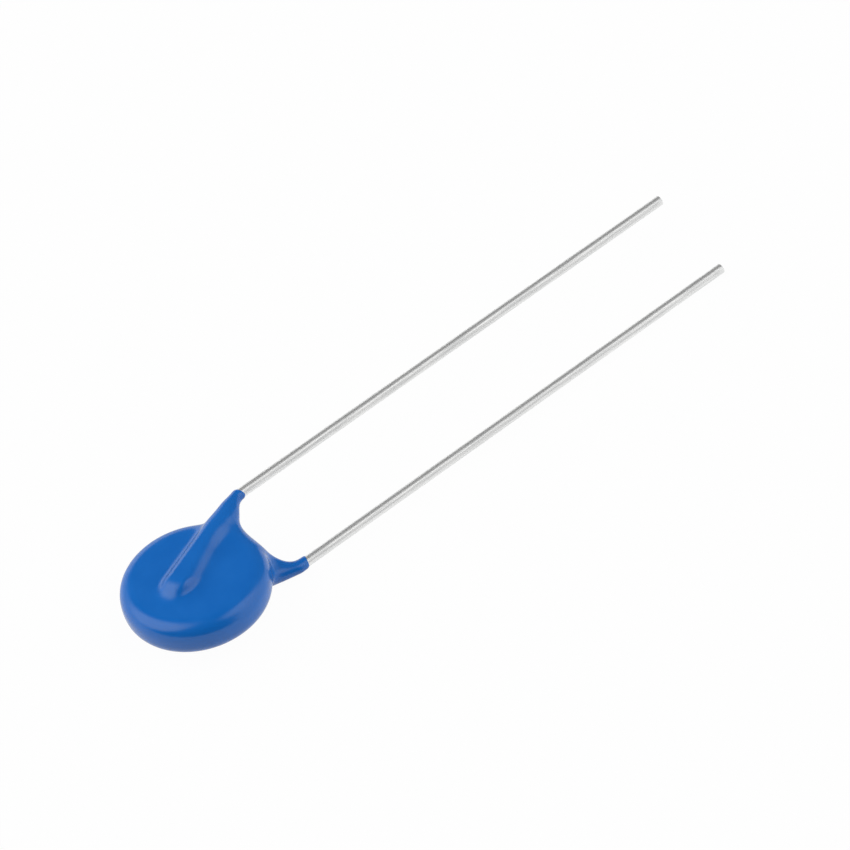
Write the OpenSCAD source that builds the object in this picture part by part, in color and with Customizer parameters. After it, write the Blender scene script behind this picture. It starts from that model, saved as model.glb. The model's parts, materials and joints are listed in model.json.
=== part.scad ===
// Metal oxide varistor: a zinc oxide disc with an electrode and a soldered lead on each face,
// dipped in epoxy. X runs across the lead pitch, Y along the leads and Z up from the surface
// that the part lies on. It leans to the left there, on the end of the ridge over the back lead,
// on the disc's rim and on the tip of the back lead.
// Forms are drawn square, about the point midway between the leads and halfway through the disc.
// place() lays them down so that the origin is under the middle of the bounding box.

/* [Leads] */
// Distance between the two leads, centre to centre
lead_pitch = 5; // [4.4:0.1:5.6]
// Diameter of the lead wire
lead_d = 0.6; // [0.5:0.02:0.7]
// Length of each lead from its bend to the cut tip
lead_length = 31.75; // [8:0.25:40]
// Radius of the bend, on the wire's centre line
bend_r = 1; // [0.6:0.1:1.5]
// Distance from the coated rim to the bends
bend_rise = 1.12; // [0.9:0.02:1.6]
// Distance from the disc's centre to where the two leads cross, one over each face
cross_drop = 0.6; // [0.2:0.1:1]
// Length of each lead past the crossing
lead_past = 0.7; // [0.5:0.1:1.2]

/* [Ceramic disc] */
// Diameter of the ceramic
ceramic_d = 7; // [6.6:0.1:8]
// Thickness of the ceramic
ceramic_t = 1.7; // [1.3:0.05:2.4]
// Chamfer round both edges of the ceramic
ceramic_chamfer = 0.1; // [0.05:0.01:0.2]
// Distance from the middle of the pitch to the disc's centre
disc_offset = 0.38; // [0:0.02:0.5]

/* [Electrodes and solder] */
// Width of the bare ring between an electrode and the ceramic's edge
electrode_margin = 0.4; // [0.3:0.05:0.5]
// Thickness of each electrode
electrode_t = 0.03; // [0.02:0.005:0.06]
// Thickness of the solder between a lead and its electrode
solder_film = 0.03; // [0.02:0.005:0.06]
// Height of the solder seam, which is half its width
solder_r = 0.5; // [0.42:0.01:0.52]
// Length of the solder seam between the centres of its round ends
solder_length = 3.6; // [2:0.1:4]
// Distance from the lead's inner end to the centre of the seam's round end there
solder_inset = 0.2; // [0.1:0.05:0.4]

/* [Coating] */
// Thickness of the epoxy outside the ceramic's rim
coat_rim = 0.83; // [0.6:0.01:1]
// Thickness of the epoxy on each electrode
coat_face = 0.27; // [0.2:0.01:0.34]
// Thickness of the epoxy on a lead where it crosses the face
coat_lead = 0.17; // [0.12:0.01:0.25]
// Thickness of the epoxy on a lead at the end of its neck
coat_neck = 0.05; // [0.04:0.01:0.12]
// Distance from the front bend to the centre of the round end of the front neck
front_neck = 0.05; // [-0.2:0.05:0.6]
// Distance from the back bend to the centre of the round end of the back neck
back_neck = 0.45; // [-0.2:0.05:0.6]
// Width of the rounding round the rim, measured inwards
rim_depth = 1.1; // [0.8:0.05:1.4]
// Squareness of the rim's section: 2 is an ellipse
rim_square = 2.5; // [2:0.1:3.5]

/* [Coating flow] */
// Half the width of a ridge over a lead, before its fillets
ridge_half = 0.47; // [0.42:0.01:0.6]
// Length of a ridge's far end, past the lead's own end
ridge_run_out = 1.05; // [0.6:0.05:1.3]
// Width of the fillet along each ridge
ridge_blend = 1.2; // [0.8:0.1:1.6]
// Width of the fillet on the outer side of each neck
neck_blend = 1.5; // [1:0.1:2]
// Width of the fillet between the necks, which makes the web
web_blend = 3.4; // [2:0.1:4]
// Width over which the inner fillet takes over from the outer one, across a neck
web_start = 1; // [0.6:0.1:1.4]
// Distance from a lead's line to where the inner fillet starts
web_lap = 0.2; // [0:0.05:0.4]
// Distance inside the rim at which a ridge starts to become a neck
neck_start = 3; // [2:0.1:3.5]
// Length over which a ridge becomes a neck
neck_run = 3.5; // [2.5:0.1:4]

/* [Hidden] */
$fn = 96;

electrode_d = ceramic_d - 2*electrode_margin;
electrode_z = ceramic_t/2 + electrode_t;         // outer face of each electrode
lead_z = electrode_z + solder_film + lead_d/2;   // centre line of each lead
body_r = ceramic_d/2 + coat_rim;                 // radius of the coated disc
half_t = electrode_z + coat_face;                // half the thickness of the coated disc
ridge_r = lead_d/2 + coat_lead;
neck_r = lead_d/2 + coat_neck;

bend_y = body_r + bend_rise;                     // where a lead's two straights would meet
skew = atan2(lead_pitch/2, bend_y + cross_drop); // turn of each lead at its bend
bend_setback = bend_r*tan(skew/2);               // from that corner to the ends of the bend
bend_full = 0.002;                               // extra radius of the wire in its bend
bend_entry = 0.02;                               // overlap of each straight with the bend
inner_length = (bend_y + cross_drop)/cos(skew) + lead_past;
tip_y = bend_y + lead_length;

// Places measured along a lead from the crossing, as if it had no bend
rim_s = (body_r + cross_drop)/cos(skew);
front_end_s = (bend_y + front_neck + cross_drop)/cos(skew);
back_end_s = (bend_y + back_neck + cross_drop)/cos(skew);

// How far the fillet lifts a ridge's crest
crest_step = lead_z + ridge_r - half_t;
crest_lift = pow(max(ridge_blend - crest_step, 0)/ridge_blend, 3)*ridge_blend/6;

function unit(v) = v/norm(v);

// The three points that touch a plane square to the unit vector d, on the far side that way:
// one on the disc's rounded rim, one on the end of the back ridge and one on the back lead's tip
function rim_touch(d) = let (
    outward = unit([d.x, d.y, 0]),
    power = rim_square/(rim_square - 1),
    wide = rim_depth*(d*outward),
    deep = half_t*abs(d.z),
    span = pow(pow(wide, power) + pow(deep, power), 1/power),
    radius = body_r - rim_depth + rim_depth*pow(wide/span, power - 1))
    [disc_offset, 0, -half_t*pow(deep/span, power - 1)] + radius*outward;

function ridge_touch(d) = let (
    onward = [-sin(skew), -cos(skew), 0],
    across = [-cos(skew), sin(skew), 0],
    a = ridge_run_out*max(d*onward, 0),
    b = ridge_half*(d*across),
    c = ridge_r*d.z)
    [0, -cross_drop, -lead_z] + lead_past*onward + crest_lift*d
    + (ridge_run_out*a*onward + ridge_half*b*across + [0, 0, ridge_r*c])/norm([a, b, c]);

function tip_touch(d) = [lead_pitch/2, tip_y, -lead_z] + lead_d/2*unit([d.x, 0, d.z]);

// The direction that is up at rest: square to the plane through the three points
function settle(up, n) = n == 0 ? up : let (
    from = ridge_touch(-up))
    settle(unit(cross(tip_touch(-up) - from, rim_touch(-up) - from)), n - 1);

up = settle(unit([0.2, 0, 1]), 12);
lean = atan2(up.x, up.z);        // turn about the leads
dip = asin(up.y);                // slope of the leads, down towards their tips
rest_z = -up*ridge_touch(-up);   // height of the disc's centre plane above the surface

// Lays a form down at rest over the origin
module place() translate([-disc_offset*cos(lean), (body_r - tip_y)/2, rest_z])
    rotate([dip, 0, 0]) rotate([0, -lean, 0]) children();

// Turns a form on the front face over to the back face, about the line midway between the leads
module on_back() rotate([0, 180, 0]) children();

// Lays a form that stands on +Z along the front lead, from the crossing towards the bend
module along_lead(z) translate([0, -cross_drop, z]) rotate([0, 0, skew]) rotate([-90, 0, 0])
    children();

// ---- ceramic, electrodes, solder and leads ----

module ceramic_disc() color("dimgray") place() translate([disc_offset, 0, 0])
    rotate_extrude() polygon([
        [0, -ceramic_t/2], [ceramic_d/2 - ceramic_chamfer, -ceramic_t/2],
        [ceramic_d/2, ceramic_chamfer - ceramic_t/2], [ceramic_d/2, ceramic_t/2 - ceramic_chamfer],
        [ceramic_d/2 - ceramic_chamfer, ceramic_t/2], [0, ceramic_t/2]]);

module electrode(z) color("gainsboro") place()
    translate([disc_offset, 0, z]) cylinder(h = electrode_t, d = electrode_d);

module front_electrode() electrode(ceramic_t/2);
module back_electrode() electrode(-electrode_z);

// One lead on the front face, from the centre of its bend: the straight to the cut tip, the
// bend, and the straight across the disc. Both straights enter the bend, which is drawn fuller
module lead_form() translate([bend_r - lead_pitch/2, bend_y + bend_setback, lead_z]) {
    translate([-bend_r, -bend_entry, 0]) rotate([-90, 0, 0])
        cylinder(h = lead_length - bend_setback + bend_entry, d = lead_d);
    rotate([0, 0, 180]) rotate_extrude(angle = skew)
        translate([bend_r, 0]) circle(r = lead_d/2 + bend_full);
    rotate([0, 0, skew]) translate([-bend_r, bend_entry, 0]) rotate([90, 0, 0])
        cylinder(h = inner_length - bend_setback + bend_entry, d = lead_d);
}

module front_lead() color("silver") place() lead_form();
module back_lead() color("silver") place() on_back() lead_form();

// The outside of the solder on the front: half a rod with round ends, over the lead's inner end
module solder_seam() difference() {
    along_lead(electrode_z) translate([0, 0, solder_inset - lead_past]) {
        cylinder(h = solder_length, r = solder_r);
        sphere(r = solder_r);
        translate([0, 0, solder_length]) sphere(r = solder_r);
    }
    translate([0, 0, electrode_z - body_r]) cube(2*body_r, center = true);
}

module solder_form() difference() {
    solder_seam();
    lead_form();
}

module front_solder() color("darkgray") place() solder_form();
module back_solder() color("darkgray") place() on_back() solder_form();

// ---- coating ----
// The outside of the epoxy is where skin() is zero: a disc with a rounded rim, met by a ridge
// over each lead that runs out into a neck, with fillets where they join. It is found along
// rays from an axis through the crossing, on a grid that is finest at the necks.

// 0 below 0, 1 above 1 and smooth between
function ease(t) = let (c = min(max(t, 0), 1)) c*c*(3 - 2*c);

// The lower of two distances, with a fillet of width k where they are close
function fillet(a, b, k) = let (h = max(k - abs(a - b), 0)/k) min(a, b) - h*h*h*k/6;

// Height above the coated disc with no leads
function disc_skin(p) =
    let (out = max(norm([p.x - disc_offset, p.y]) - body_r + rim_depth, 0)*half_t/rim_depth)
    pow(pow(out, rim_square) + pow(abs(p.z), rim_square), 1/rim_square) - half_t;

// Adds the epoxy over one lead to a height f. side is 1 on the front face and -1 on the back
function with_lead(f, p, side, end_s) = let (
    s = (p.y + cross_drop)*cos(skew) - side*p.x*sin(skew),
    lateral = side*p.x*cos(skew) + (p.y + cross_drop)*sin(skew),
    necked = ease((s - rim_s + neck_start)/neck_run),
    beyond = s > end_s ? s - end_s
        : s < -lead_past ? (s + lead_past)*ridge_r/ridge_run_out : 0,
    across = lateral*ridge_r/(ridge_half + (ridge_r - ridge_half)*necked),
    radius = ridge_r + (neck_r - ridge_r)*ease((s - rim_s)/(end_s - rim_s)),
    inner = ease((lateral + web_lap)/web_start),
    blend = ridge_blend + (neck_blend + (web_blend - neck_blend)*inner - ridge_blend)*necked)
    fillet(f, norm([beyond, across, p.z - side*lead_z]) - radius, blend);

function skin(p) = with_lead(with_lead(disc_skin(p), p, 1, front_end_s), p, -1, back_end_s);

// Distance from o along the unit ray d to the skin, by halving the span n times
function reach(o, d, near, far, n) =
    let (mid = (near + far)/2)
    n == 0 ? mid
    : skin(o + mid*d) < 0 ? reach(o, d, mid, far, n - 1)
    : reach(o, d, near, mid, n - 1);

// Sideways move that carries a point round the bend with its lead
function bend_shift(y) = let (
    straight = (y - bend_y)*tan(skew),
    left = max(bend_y + bend_setback - y, 0))
    y < bend_y - bend_setback*cos(skew) ? 0
    : straight + bend_r - sqrt(max(bend_r*bend_r - left*left, 0));

// Steps from -1 to 1, n on each side of 0, that are share times as fine at 0
function graded(n, share) = [for (i = [-n:n]) let (u = i/n) share*u + (1 - share)*u*u*u];

web_steps = 4;       // columns from the middle of the web to the cluster at each neck
neck_steps = 9;      // columns on each side of a neck's line, in that cluster
back_steps = 24;     // columns from the cluster round to the far side
neck_half = 10;      // angle that half a cluster spans
ring_steps = 21;     // rings on each side of the level of the leads
halvings = 14;

turns = concat(
    [for (i = [0:web_steps - 1]) i/web_steps*(skew - neck_half)],
    [for (u = graded(neck_steps, 0.4)) skew + neck_half*u],
    [for (i = [1:back_steps]) skew + neck_half + (180 - skew - neck_half)*pow(i/back_steps, 1.3)]);
half_count = len(turns);
azimuths = concat(
    [for (i = [0:half_count - 1]) 90 + turns[i]],
    [for (i = [half_count - 2:-1:1]) 90 - turns[i]]);
slopes = [for (u = graded(ring_steps, 0.16)) 90*u];

// Height of the rays' start: level with a lead where the rays run along it
function near_turn(a, at) = exp(-pow((a - at)/17, 2));
function start_z(a) = lead_z*(near_turn(a, 90 + skew) - near_turn(a, 90 - skew));

function skin_point(a, b) = let (
    o = [0, -cross_drop, start_z(a)],
    d = [cos(b)*cos(a), cos(b)*sin(a), sin(b)],
    p = o + reach(o, d, 0, back_end_s + body_r, halvings)*d)
    [p.x - sign(p.x)*bend_shift(p.y), p.y, p.z];

module skin_form() {
    columns = len(azimuths);
    rings = len(slopes) - 2;
    bottom = skin_point(90, -90);
    top = skin_point(90, 90);
    points = concat([bottom, top],
        [for (a = azimuths) for (j = [1:rings]) skin_point(a, slopes[j])]);
    function at(i, j) = 2 + (i % columns)*rings + j;
    sides = [for (i = [0:columns - 1]) for (j = [0:rings - 2])
        let (a = at(i, j), b = at(i, j + 1), c = at(i + 1, j + 1), d = at(i + 1, j))
        each norm(points[a] - points[c]) < norm(points[b] - points[d])
            ? [[a, b, c], [a, c, d]] : [[a, b, d], [b, c, d]]];
    ends = [for (i = [0:columns - 1])
        each [[0, at(i, 0), at(i + 1, 0)], [1, at(i + 1, rings - 1), at(i, rings - 1)]]];
    polyhedron(points, concat(sides, ends), convexity = 6);
}

module epoxy_coating() color([0.09, 0.39, 0.71]) difference() {
    place() skin_form();
    ceramic_disc();
    front_electrode();
    back_electrode();
    place() solder_seam();
    place() on_back() solder_seam();
    front_lead();
    back_lead();
}

ceramic_disc();
front_electrode();
back_electrode();
front_solder();
back_solder();
front_lead();
back_lead();
epoxy_coating();
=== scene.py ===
import json
import math

import bpy
import numpy as np
from mathutils import Matrix


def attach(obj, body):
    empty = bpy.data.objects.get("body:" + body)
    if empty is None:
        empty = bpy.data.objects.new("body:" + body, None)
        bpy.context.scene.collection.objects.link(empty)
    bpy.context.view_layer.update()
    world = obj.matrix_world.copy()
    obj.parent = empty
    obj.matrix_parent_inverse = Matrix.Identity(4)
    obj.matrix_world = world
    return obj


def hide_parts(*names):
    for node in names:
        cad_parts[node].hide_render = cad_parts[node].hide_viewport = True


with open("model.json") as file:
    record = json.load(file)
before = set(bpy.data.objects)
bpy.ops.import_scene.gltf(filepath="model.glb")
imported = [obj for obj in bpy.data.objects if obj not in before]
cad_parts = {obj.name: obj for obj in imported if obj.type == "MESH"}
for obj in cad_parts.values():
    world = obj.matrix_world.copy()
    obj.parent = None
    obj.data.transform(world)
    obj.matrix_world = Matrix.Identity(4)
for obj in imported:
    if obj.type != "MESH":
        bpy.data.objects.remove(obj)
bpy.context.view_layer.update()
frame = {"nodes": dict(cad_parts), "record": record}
print("frame loaded")

mm = 0.001  # sizes below are in millimetres


# the part's own axes: X across the leads, Y along them, Z through the disc

pins = {mount["name"]: mount for mount in frame["record"]["mounts"]}
frontPin = np.array(pins["front_lead_pin"]["pos_m"]) / mm
backPin = np.array(pins["back_lead_pin"]["pos_m"]) / mm
leadRadius = pins["front_lead_pin"]["dims"]["r_mm"]


def nodePoints(node):  # every vertex of a CAD node, as rows
    mesh = frame["nodes"][node].data
    points = np.zeros(3 * len(mesh.vertices), np.float32)
    mesh.vertices.foreach_get("co", points)
    return points.reshape(-1, 3).astype(float) / mm


def middle(points):  # halfway between the lowest and the highest corner
    return (points.min(0) + points.max(0)) / 2


def discAxis(points):  # the direction in which a flat piece is thinnest, pointing up
    arms = np.unique(points.round(3), axis=0) - middle(points)
    axis = np.linalg.svd(arms, full_matrices=False)[2][2]
    return axis * np.sign(axis[2])


ceramic = nodePoints("ceramic_disc")
discCentre = middle(ceramic)
axisZ = discAxis(ceramic)
axisY = np.array(pins["front_lead_pin"]["axis"], float)
axisY = axisY - axisZ * (axisY @ axisZ)
axisY = axisY / np.linalg.norm(axisY)
axisX = np.cross(axisY, axisZ)
axes = np.stack([axisX, axisY, axisZ])
betweenLeads = (frontPin + backPin) / 2
origin = betweenLeads + axisY * ((discCentre - betweenLeads) @ axisY)


def own(points):  # from the row's frame to the part's own axes
    return (points - origin) @ axes.T


def placed(points):  # from the part's own axes to the row's frame, in metres
    return (origin + points @ axes) * mm


leadPitch = own(backPin)[0] - own(frontPin)[0]
leadHeight = (own(frontPin)[2] - own(backPin)[2]) / 2
discOffset = own(discCentre)[0]
ceramicRadius = (ceramic @ axisY).max() - discCentre @ axisY
ceramicHalf = (ceramic @ axisZ).max() - discCentre @ axisZ
tipReach = (nodePoints("front_lead") @ axisY).max() - origin @ axisY
print("axes: pitch %.2f, disc offset %.2f" % (leadPitch, discOffset))


# making pieces

def closedFaces(columns, rings):  # quads between columns, and fans to points 0 and 1
    c, r = np.meshgrid(np.arange(columns), np.arange(rings - 1), indexing="ij")
    n = (c + 1) % columns
    quads = np.stack([c * rings + r, n * rings + r, n * rings + r + 1, c * rings + r + 1], -1)
    c, n = c[:, 0] * rings, n[:, 0] * rings
    low = np.stack([c * 0, n + 2, c + 2], -1)
    high = np.stack([c * 0 + 1, c + rings + 1, n + rings + 1], -1)
    return (quads.reshape(-1, 4) + 2).tolist() + low.tolist() + high.tolist()


def addPiece(name, grid, ends, node, material):  # closed columns, in a CAD node's place
    mesh = bpy.data.meshes.new(name)
    points = placed(np.concatenate([ends, grid.reshape(-1, 3)]))
    mesh.from_pydata(points, [], closedFaces(*grid.shape[:2]))
    mesh.polygons.foreach_set("use_smooth", np.full(len(mesh.polygons), True))
    mesh.materials.append(material)
    mesh.update()
    piece = bpy.data.objects.new(name, mesh)
    bpy.context.scene.collection.objects.link(piece)
    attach(piece, "root")
    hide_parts(node)
    print("%s made: %d points" % (name, len(points)))


# materials

def newMaterial(name):  # an empty material, and the shader it is made with
    material = bpy.data.materials.new(name)
    material.use_nodes = True
    nodes = material.node_tree.nodes
    nodes.clear()
    out = nodes.new("ShaderNodeOutputMaterial")
    shader = nodes.new("ShaderNodeBsdfPrincipled")
    material.node_tree.links.new(shader.outputs[0], out.inputs["Surface"])
    return material, shader


def link(material, start, end):  # joins an output to an input
    material.node_tree.links.new(start, end)


def objectPoints(material, scale=(1, 1, 1)):  # object coordinates, stretched
    nodes = material.node_tree.nodes
    coord = nodes.new("ShaderNodeTexCoord")
    mapping = nodes.new("ShaderNodeMapping")
    mapping.inputs["Scale"].default_value = scale
    link(material, coord.outputs["Object"], mapping.inputs["Vector"])
    return mapping.outputs["Vector"]


def noise(material, points, scale, detail=2.0, roughness=0.5):  # soft noise from 0 to 1
    node = material.node_tree.nodes.new("ShaderNodeTexNoise")
    node.inputs["Scale"].default_value = scale
    node.inputs["Detail"].default_value = detail
    node.inputs["Roughness"].default_value = roughness
    link(material, points, node.inputs["Vector"])
    return node.outputs["Fac"]


def ramp(material, value, band, first, last):  # colour from first to last over a band of values
    node = material.node_tree.nodes.new("ShaderNodeValToRGB")
    for element, position, colour in zip(node.color_ramp.elements, band, (first, last)):
        element.position = position
        element.color = (*colour, 1)
    link(material, value, node.inputs["Fac"])
    return node.outputs["Color"]


def spread(material, value, band, first, last):  # number from first to last over a band of values
    node = material.node_tree.nodes.new("ShaderNodeMapRange")
    node.inputs["From Min"].default_value = band[0]
    node.inputs["From Max"].default_value = band[1]
    node.inputs["To Min"].default_value = first
    node.inputs["To Max"].default_value = last
    link(material, value, node.inputs["Value"])
    return node.outputs["Result"]


def bump(material, height, distance):  # normals of a surface raised by height times distance
    node = material.node_tree.nodes.new("ShaderNodeBump")
    node.inputs["Strength"].default_value = 1
    node.inputs["Distance"].default_value = distance
    link(material, height, node.inputs["Height"])
    return node.outputs["Normal"]


epoxyLook = {
    "blue": (0.003, 0.134, 0.500),
    "deepBlue": (0.002, 0.122, 0.470),
    "cloudSize": 1.6,  # mm, of the faint clouds in the pigment
    "cloudDetail": 3,
    "cloudBand": (0.3, 0.7),  # noise values over which colour and roughness change
    "roughness": (0.16, 0.24),
    "peelSize": 0.35,  # mm, of the ripple left as it set
    "peelDepth": 0.0012,  # mm
    "ior": 1.5,
}


def blueEpoxy(look):  # clouds in colour and roughness, under a fine ripple
    material, shader = newMaterial("blueEpoxy")
    points = objectPoints(material)
    clouds = noise(material, points, 1 / (look["cloudSize"] * mm), look["cloudDetail"])
    peel = noise(material, points, 1 / (look["peelSize"] * mm))
    colour = ramp(material, clouds, look["cloudBand"], look["deepBlue"], look["blue"])
    roughness = spread(material, clouds, look["cloudBand"], *look["roughness"])
    link(material, colour, shader.inputs["Base Color"])
    link(material, roughness, shader.inputs["Roughness"])
    link(material, bump(material, peel, look["peelDepth"] * mm), shader.inputs["Normal"])
    shader.inputs["IOR"].default_value = look["ior"]
    return material


tinLook = {
    "bright": (0.93, 0.93, 0.92),
    "dull": (0.76, 0.77, 0.77),
    "toneBand": (0.35, 0.6),  # noise values from dull to bright
    "lineWidth": 0.05,  # mm, of the lines drawn along the wire
    "lineLength": 4.0,  # mm
    "lineDetail": 3,
    "lineContrast": 0.6,
    "lineDepth": 0.0003,  # mm
    "roughness": (0.46, 0.34),
    "roughBand": (0.35, 0.65),
    "metallic": 0.8,
}


def tinnedWire(look):  # lines along the wire change its colour, roughness and height
    material, shader = newMaterial("tinnedWire")
    across, along = 1 / (look["lineWidth"] * mm), 1 / (look["lineLength"] * mm)
    points = objectPoints(material, (across, along, across))
    lines = noise(material, points, 1.0, look["lineDetail"], look["lineContrast"])
    colour = ramp(material, lines, look["toneBand"], look["dull"], look["bright"])
    roughness = spread(material, lines, look["roughBand"], *look["roughness"])
    link(material, colour, shader.inputs["Base Color"])
    link(material, roughness, shader.inputs["Roughness"])
    link(material, bump(material, lines, look["lineDepth"] * mm), shader.inputs["Normal"])
    shader.inputs["Metallic"].default_value = look["metallic"]
    return material


grainLook = {
    "detail": 3,
    "toneBand": (0.35, 0.65),
    "roughBand": (0.3, 0.7),
    "roughSpread": 0.06,
    "depth": 0.05,  # as a share of the grain's size
}


def grainy(name, dark, light, grain, roughness, metallic):  # a grain in colour, roughness and height
    if name in bpy.data.materials:
        return bpy.data.materials[name]
    material, shader = newMaterial(name)
    grains = noise(material, objectPoints(material), 1 / (grain * mm), grainLook["detail"])
    colour = ramp(material, grains, grainLook["toneBand"], dark, light)
    low, high = roughness - grainLook["roughSpread"], roughness + grainLook["roughSpread"]
    height = bump(material, grains, grain * grainLook["depth"] * mm)
    link(material, colour, shader.inputs["Base Color"])
    link(material, spread(material, grains, grainLook["roughBand"], low, high), shader.inputs["Roughness"])
    link(material, height, shader.inputs["Normal"])
    shader.inputs["Metallic"].default_value = metallic
    return material


# name, colour, second colour, grain in mm, roughness, metallic
zincOxide = ("zincOxide", (0.030, 0.031, 0.034), (0.052, 0.053, 0.056), 0.05, 0.62, 0.0)
firedSilver = ("firedSilver", (0.74, 0.73, 0.70), (0.84, 0.83, 0.80), 0.08, 0.48, 1.0)
tinSolder = ("tinSolder", (0.52, 0.53, 0.54), (0.68, 0.69, 0.70), 0.20, 0.34, 1.0)
insideLooks = {
    "ceramic_disc": zincOxide,
    "front_electrode": firedSilver,
    "back_electrode": firedSilver,
    "front_solder": tinSolder,
    "back_solder": tinSolder,
}

epoxy = blueEpoxy(epoxyLook)
tin = tinnedWire(tinLook)
for node, look in insideLooks.items():
    slots = frame["nodes"][node].data.materials
    slots.clear()
    slots.append(grainy(*look))
print("materials made")


# the dipped epoxy coating

skinShape = {  # mm
    "coatRim": 0.83,  # epoxy outside the ceramic's rim
    "coatFace": 0.30,  # epoxy and electrode on each face of the ceramic
    "coatLead": 0.17,  # epoxy on a lead over the face
    "coatNeck": 0.05,  # epoxy on a lead at the end of its neck
    "bendRise": 1.12,  # rim to bends
    "bendRadius": 1.0,
    "crossDrop": 0.6,  # disc's centre to where the leads cross
    "leadPast": 0.7,  # length of each lead past the crossing
    "frontNeck": 0.05,  # bend to the end of the front neck
    "backNeck": 0.45,
    "rimDepth": 1.1,
    "rimSquare": 2.5,
    "ridgeHalf": 0.47,
    "ridgeRunOut": 0.85,
    "ridgeEnd": 0.4,  # where a ridge starts to run out, past the crossing
    "ridgeFlare": {1: 0.75, -1: 0.0},  # width added to the front and back ridge's inner side
    "ridgeTaper": 5.0,  # length over which that goes
    "ridgeNose": 0.35,  # from the lead's line to where a ridge's end turns back
    "ridgeSlant": 0.9,
    "ridgeSquare": 2.15,
    "ridgeBlend": 0.9,
    "flareBlend": 1.05,  # the same on a ridge's inner side
    "flareLap": 0.4,  # from the lead's line to where that starts
    "flareStart": 0.8,  # width over which it comes in
    "neckBlend": 1.5,
    "webBlend": 3.4,
    "webLap": 0.2,
    "webStart": 1.0,
    "neckStart": 3.0,  # from a ridge to its neck: how far before the rim that starts
    "neckRun": 3.5,
    "roundSquare": 2,
}
skinGrid = {
    "columns": 440,
    "rings": 210,
    "outline": 7201,  # samples round the outline, from which the columns are spaced
    "fine": 700,  # samples along a column, from which the rings are spaced
    "evenShare": 0.03,  # of the samples' slopes; the others crowd towards the rim
    "startWidth": 17,  # degrees to each side of a lead, where rays start at its level
    "roughHalvings": 22,
    "fineHalvings": 26,
}

shape = skinShape
bodyRadius = ceramicRadius + shape["coatRim"]
halfThick = ceramicHalf + shape["coatFace"]
bendY = bodyRadius + shape["bendRise"]
skew = math.atan2(leadPitch / 2, bendY + shape["crossDrop"])
setback = shape["bendRadius"] * math.tan(skew / 2)
ridgeRadius = leadRadius + shape["coatLead"]
neckRadius = leadRadius + shape["coatNeck"]


def alongLead(y):  # distance from the crossing to the level y, along a lead
    return (y + shape["crossDrop"]) / math.cos(skew)


rimAlong = alongLead(bodyRadius)
neckEnds = {1: alongLead(bendY + shape["frontNeck"]), -1: alongLead(bendY + shape["backNeck"])}


def ease(t):  # 0 below 0, 1 above 1, 3t^2 - 2t^3 between
    t = np.clip(t, 0, 1)
    return t * t * (3 - 2 * t)


def between(a, b, share):  # a + (b - a) share
    return a + (b - a) * share


def fillet(a, b, width):  # the lower of a and b, less (1 - |a - b|/width)^3 width/6 if close
    near = np.maximum(width - np.abs(a - b), 0) / width
    return np.minimum(a, b) - near ** 3 * width / 6


def discSkin(p):  # superellipse round the rim: (out^n + |z|^n)^(1/n) - half the thickness
    out = np.hypot(p[..., 0] - discOffset, p[..., 1]) - bodyRadius + shape["rimDepth"]
    out = np.maximum(out, 0) * halfThick / shape["rimDepth"]
    n = shape["rimSquare"]
    return (out ** n + np.abs(p[..., 2]) ** n) ** (1 / n) - halfThick


def withLead(height, p, side):  # adds one lead's epoxy: (a^n + b^n + c^n)^(1/n) - its radius
    x, y, z = p[..., 0], p[..., 1] + shape["crossDrop"], p[..., 2]
    along = y * math.cos(skew) - side * x * math.sin(skew)
    lateral = side * x * math.cos(skew) + y * math.sin(skew)
    end = neckEnds[side]
    necked = ease((along - rimAlong + shape["neckStart"]) / shape["neckRun"])
    taper = np.clip(1 - (along + shape["leadPast"]) / shape["ridgeTaper"], 0, 1)
    inner = np.maximum(lateral - shape["ridgeFlare"][side] * taper, 0)
    slant = shape["ridgeSlant"] * np.maximum(lateral - shape["ridgeNose"], 0) ** 2
    before = np.minimum(along + shape["ridgeEnd"] - slant, 0)
    beyond = np.maximum(along - end, 0) + before * ridgeRadius / shape["ridgeRunOut"]
    half = between(shape["ridgeHalf"], ridgeRadius, necked)
    across = np.where(lateral > 0, inner, lateral) * ridgeRadius / half
    radius = between(ridgeRadius, neckRadius, ease((along - rimAlong) / (end - rimAlong)))
    web = ease((lateral + shape["webLap"]) / shape["webStart"])
    flared = ease((lateral + shape["flareLap"]) / shape["flareStart"])
    neckBlend = between(shape["neckBlend"], shape["webBlend"], web)
    ridgeBlend = between(shape["ridgeBlend"], shape["flareBlend"], flared)
    n = between(shape["ridgeSquare"], shape["roundSquare"], necked)
    reach = np.abs(beyond) ** n + np.abs(across) ** n + np.abs(z - side * leadHeight) ** n
    return fillet(height, reach ** (1 / n) - radius, between(ridgeBlend, neckBlend, necked))


def skin(p):  # below zero inside the epoxy
    return withLead(withLead(discSkin(p), p, 1), p, -1)


def startHeight(azimuth):  # a ray's first level: exp(-(angle/width)^2) of the lead it runs along
    def near(at):
        return np.exp(-((azimuth - at) / math.radians(skinGrid["startWidth"])) ** 2)
    return leadHeight * (near(math.pi / 2 + skew) - near(math.pi / 2 - skew))


def rayPoints(azimuth, slope, halvings):  # where rays from the crossing meet the skin, by halving
    start = np.stack([azimuth * 0, azimuth * 0 - shape["crossDrop"], startHeight(azimuth)], -1)
    level = np.cos(slope)
    ray = np.stack([level * np.cos(azimuth), level * np.sin(azimuth), np.sin(slope)], -1)
    near = np.zeros(azimuth.shape)
    far = near + max(neckEnds.values()) + bodyRadius
    for _ in range(halvings):
        half = (near + far) / 2
        inside = skin(start + ray * half[..., None]) < 0
        near, far = np.where(inside, half, near), np.where(inside, far, half)
    return start + ray * ((near + far) / 2)[..., None]


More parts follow.
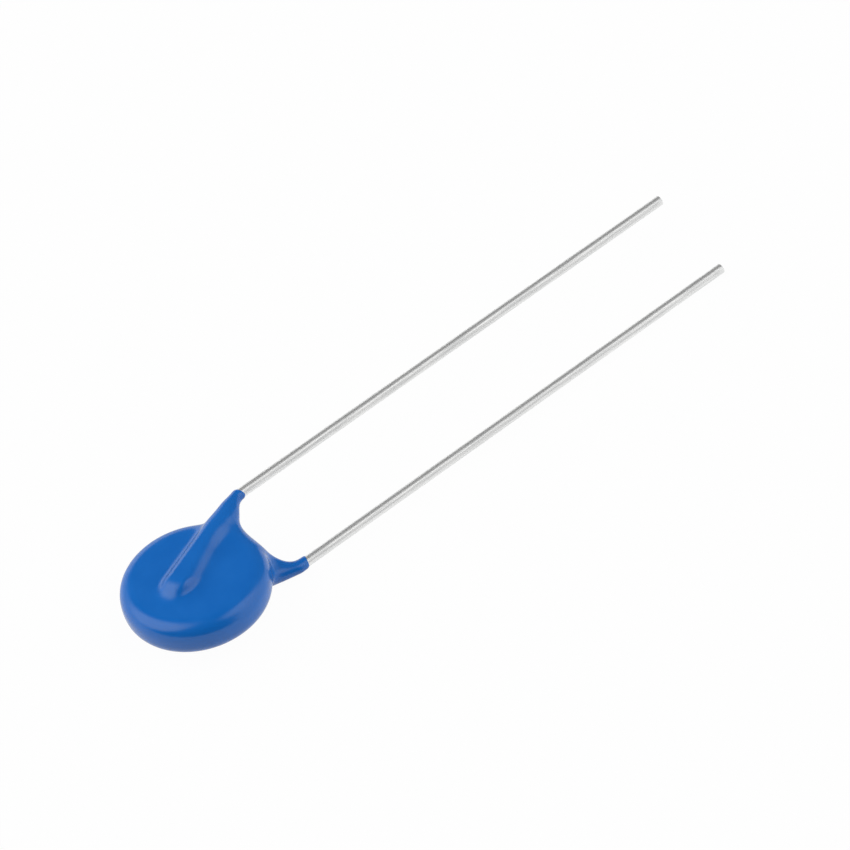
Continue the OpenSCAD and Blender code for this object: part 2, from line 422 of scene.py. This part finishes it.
def bendShift(y):  # how far a lead has moved sideways at level y: r - sqrt(r^2 - d^2) on the bend
    radius = shape["bendRadius"]
    left = np.maximum(bendY + setback - y, 0)
    turned = (y - bendY) * math.tan(skew) + radius - np.sqrt(np.maximum(radius ** 2 - left ** 2, 0))
    return np.where(y < bendY - setback * math.cos(skew), 0, turned)


def running(points):  # length along a row of points
    steps = np.linalg.norm(np.diff(points, axis=0), axis=1)
    return np.concatenate([[0], np.cumsum(steps)])


def evenly(points, count):  # places, as fractions of the index, that share a row's length evenly
    lengths = running(points)
    return np.interp(np.linspace(0, lengths[-1], count), lengths, np.arange(len(lengths)))


def coatingSkin(look):  # columns evenly round the outline, rings evenly along each column
    rough, rings = look["roughHalvings"], look["rings"]
    turn = np.linspace(math.pi / 2, math.pi / 2 + 2 * math.pi, look["outline"])
    wrapped = np.where(turn > 1.5 * math.pi, turn - 2 * math.pi, turn)
    outline = rayPoints(wrapped, wrapped * 0, rough)
    azimuth = np.interp(evenly(outline, look["columns"] + 1)[:-1], np.arange(len(turn)), turn)
    azimuth = np.where(azimuth > 1.5 * math.pi, azimuth - 2 * math.pi, azimuth)
    u = np.linspace(-1, 1, look["fine"])
    slope = math.pi / 2 * between(u ** 3, u, look["evenShare"])
    fine = rayPoints(*np.meshgrid(azimuth, slope, indexing="ij"), rough)
    index = np.arange(look["fine"])
    slopes = np.stack([np.interp(evenly(column, rings), index, slope) for column in fine])
    points = rayPoints(np.repeat(azimuth[:, None], rings, 1), slopes, look["fineHalvings"])
    points[..., 0] -= np.sign(points[..., 0]) * bendShift(points[..., 1])
    return points


grid = coatingSkin(skinGrid)
poles = np.stack([grid[:, 0].mean(0), grid[:, -1].mean(0)])
addPiece("epoxyCoating", grid[:, 1:-1], poles, "epoxy_coating", epoxy)


# the leads

wireShape = {  # mm
    "sides": 48,
    "innerSteps": 24,
    "bendSteps": 12,
    "outerSteps": 90,
    "roundSteps": 6,
    "cutRound": 0.035,  # rounding of the cut end's edge
    "cutDish": 0.02,  # hollow left by the cutter
}


def leadPath(side, look):  # centre line of a lead: inner straight, bend, outer straight
    inner = np.linspace(-shape["leadPast"], alongLead(bendY) - setback, look["innerSteps"])
    first = np.stack([-inner * math.sin(skew), inner * math.cos(skew) - shape["crossDrop"]], -1)
    turn = np.linspace(skew, 0, look["bendSteps"])[1:]
    radius = shape["bendRadius"]
    sideways = radius - leadPitch / 2 - radius * np.cos(turn)
    bend = np.stack([sideways, bendY + setback - radius * np.sin(turn)], -1)
    outer = np.linspace(bend[-1, 1], tipReach, look["outerSteps"])[1:]
    last = np.stack([outer * 0 - leadPitch / 2, outer], -1)
    line = np.concatenate([first, bend, last])
    return np.column_stack([line[:, 0] * side, line[:, 1], np.full(len(line), leadHeight * side)])


def leadSkin(path, look):  # circle carried along the path, with a quarter round at each end
    ahead = np.gradient(path, axis=0)
    ahead = ahead / np.linalg.norm(ahead, axis=1)[:, None]
    across = np.cross([0, 0, 1], ahead)
    arc = np.linspace(0, math.pi / 2, look["roundSteps"])[:-1]
    drawn = look["cutRound"] * (1 - np.sin(arc))
    moved = look["cutRound"] * (1 - np.cos(arc))
    straight = np.zeros(len(path) - 2)
    inset = np.concatenate([drawn, straight, drawn[::-1]])[:, None, None]
    move = np.concatenate([moved, straight, -moved[::-1]])[:, None]
    last = len(path) - 1
    index = np.pad(np.arange(1, last), len(arc), constant_values=(0, last))
    centre = path[index] + ahead[index] * move
    turn = np.linspace(0, 2 * math.pi, look["sides"], endpoint=False)[:, None]
    ring = np.cos(turn) * across[index][:, None] + np.sin(turn) * np.array([0, 0, 1])
    return centre[:, None] + ring * (leadRadius - inset), ahead


def makeLead(name, side, node):  # a wire whose cut ends are slightly hollow
    rings, ahead = leadSkin(leadPath(side, wireShape), wireShape)
    hollow = wireShape["cutDish"] * np.array([[1], [-1]])
    ends = rings[[0, -1]].mean(1) + ahead[[0, -1]] * hollow
    addPiece(name, rings.transpose(1, 0, 2), ends, node, tin)


makeLead("frontLead", 1, "front_lead")
makeLead("backLead", -1, "back_lead")


# floor, light and camera

studio = {
    "floorSize": 1.2,  # m
    "floorColour": 0.85,
    "floorLift": 0.97,  # share of plain white that the camera, gloss and transmission see
    "dark": 0.08,  # brightness of the studio between its lights
    "softGain": 1.85,  # soft light is stronger than what gloss shows
}


def makeFloor(look):  # diffuse to soft light, plain white to the camera and to gloss
    half = look["floorSize"] / 2
    corners = [(-half, -half, 0), (half, -half, 0), (half, half, 0), (-half, half, 0)]
    mesh = bpy.data.meshes.new("floor")
    mesh.from_pydata(corners, [], [(0, 1, 2, 3)])
    material = bpy.data.materials.new("whiteFloor")
    material.use_nodes = True
    nodes, links = material.node_tree.nodes, material.node_tree.links
    nodes.clear()
    out = nodes.new("ShaderNodeOutputMaterial")
    diffuse = nodes.new("ShaderNodeBsdfDiffuse")
    diffuse.inputs["Color"].default_value = (look["floorColour"],) * 3 + (1,)
    glow = nodes.new("ShaderNodeEmission")
    path = nodes.new("ShaderNodeLightPath")
    seen = path.outputs["Is Camera Ray"]
    for other in ("Is Glossy Ray", "Is Transmission Ray"):
        either = nodes.new("ShaderNodeMath")
        either.operation = "MAXIMUM"
        links.new(seen, either.inputs[0])
        links.new(path.outputs[other], either.inputs[1])
        seen = either.outputs[0]
    share = nodes.new("ShaderNodeMath")
    share.operation = "MULTIPLY"
    share.inputs[1].default_value = look["floorLift"]
    links.new(seen, share.inputs[0])
    mix = nodes.new("ShaderNodeMixShader")
    links.new(share.outputs[0], mix.inputs[0])
    links.new(diffuse.outputs[0], mix.inputs[1])
    links.new(glow.outputs[0], mix.inputs[2])
    links.new(mix.outputs[0], out.inputs["Surface"])
    mesh.materials.append(material)
    floor = bpy.data.objects.new("floor", mesh)
    bpy.context.scene.collection.objects.link(floor)


def compass(azimuth, elevation):  # (cos e cos a, cos e sin a, sin e), from two angles in degrees
    a, e = math.radians(azimuth), math.radians(elevation)
    return np.array([math.cos(e) * math.cos(a), math.cos(e) * math.sin(a), math.sin(e)])


# round the part's own axes: azimuth, elevation, half width and softness in degrees, brightness
zones = [
    (-145, 0, 36, 16, 0.8),  # low on the left
    (-118, 46, 31, 10, 1.6),  # softbox on the left
    (50, 0, 34, 14, 1.0),  # low on the right
    (45, 45, 24, 10, 1.25),  # softbox on the right
    (165, 8, 14, 8, 1.5),  # narrow strip behind
    (120, 40, 30, 12, 0.16),  # faint glow behind
]


def makeTent(look):  # dark studio with bright zones; the camera sees plain white
    world = bpy.data.worlds.new("tent")
    bpy.context.scene.world = world
    world.use_nodes = True
    nodes, links = world.node_tree.nodes, world.node_tree.links
    nodes.clear()
    out = nodes.new("ShaderNodeOutputWorld")
    coord = nodes.new("ShaderNodeTexCoord")
    path = nodes.new("ShaderNodeLightPath")
    level = None
    for azimuth, elevation, width, softness, brightness in zones:
        dot = nodes.new("ShaderNodeVectorMath")
        dot.operation = "DOT_PRODUCT"
        dot.inputs[1].default_value = compass(azimuth, elevation) @ axes
        links.new(coord.outputs["Generated"], dot.inputs[0])
        fade = nodes.new("ShaderNodeMapRange")
        fade.interpolation_type = "SMOOTHSTEP"
        fade.inputs["From Min"].default_value = math.cos(math.radians(width + softness))
        fade.inputs["From Max"].default_value = math.cos(math.radians(width - softness))
        fade.inputs["To Max"].default_value = brightness
        fade.inputs["To Min"].default_value = look["dark"]
        if level is not None:
            links.new(level, fade.inputs["To Min"])
        links.new(dot.outputs["Value"], fade.inputs["Value"])
        level = fade.outputs["Result"]
    gain = nodes.new("ShaderNodeMapRange")
    gain.inputs["To Min"].default_value = 1.0
    gain.inputs["To Max"].default_value = look["softGain"]
    links.new(path.outputs["Is Diffuse Ray"], gain.inputs["Value"])
    strength = nodes.new("ShaderNodeMath")
    strength.operation = "MULTIPLY"
    links.new(level, strength.inputs[0])
    links.new(gain.outputs["Result"], strength.inputs[1])
    tent = nodes.new("ShaderNodeBackground")
    tent.inputs["Color"].default_value = (1, 1, 1, 1)
    links.new(strength.outputs[0], tent.inputs["Strength"])
    white = nodes.new("ShaderNodeBackground")
    white.inputs["Color"].default_value = (1, 1, 1, 1)
    mix = nodes.new("ShaderNodeMixShader")
    links.new(path.outputs["Is Camera Ray"], mix.inputs[0])
    links.new(tent.outputs[0], mix.inputs[1])
    links.new(white.outputs[0], mix.inputs[2])
    links.new(mix.outputs[0], out.inputs["Surface"])


cameraLook = {
    "azimuth": -28.14,  # degrees from X, round the disc's axis
    "elevation": 43.57,  # degrees above the disc's face
    "roll": -14.89,  # degrees
    "aim": (-1.3226, 17.6262, -1.7148),  # mm, in the part's own axes
    "distance": 300.41,  # mm
    "lens": 220.82,  # mm
    "sensor": 36,  # mm
    "clip": (0.01, 10),  # m
}


def makeCamera(look):  # on a ray from the aim, turned about it by the roll
    data = bpy.data.cameras.new("camera")
    data.lens = look["lens"]
    data.sensor_width = look["sensor"]
    data.clip_start, data.clip_end = look["clip"]
    camera = bpy.data.objects.new("camera", data)
    bpy.context.scene.collection.objects.link(camera)
    back = compass(look["azimuth"], look["elevation"])
    right = np.cross([0, 0, 1], back)
    right = right / np.linalg.norm(right)
    up = np.cross(back, right)
    c, s = math.cos(math.radians(look["roll"])), math.sin(math.radians(look["roll"]))
    right, up = c * right + s * up, c * up - s * right
    place = placed(np.array(look["aim"]) + back * look["distance"])
    rows = axes.T @ np.stack([right, up, back], 1)
    camera.matrix_world = Matrix([[*row, at] for row, at in zip(rows, place)] + [[0, 0, 0, 1]])
    bpy.context.scene.camera = camera


makeFloor(studio)
makeTent(studio)
makeCamera(cameraLook)
bpy.context.scene.view_settings.view_transform = "Standard"
print("floor, light and camera made")
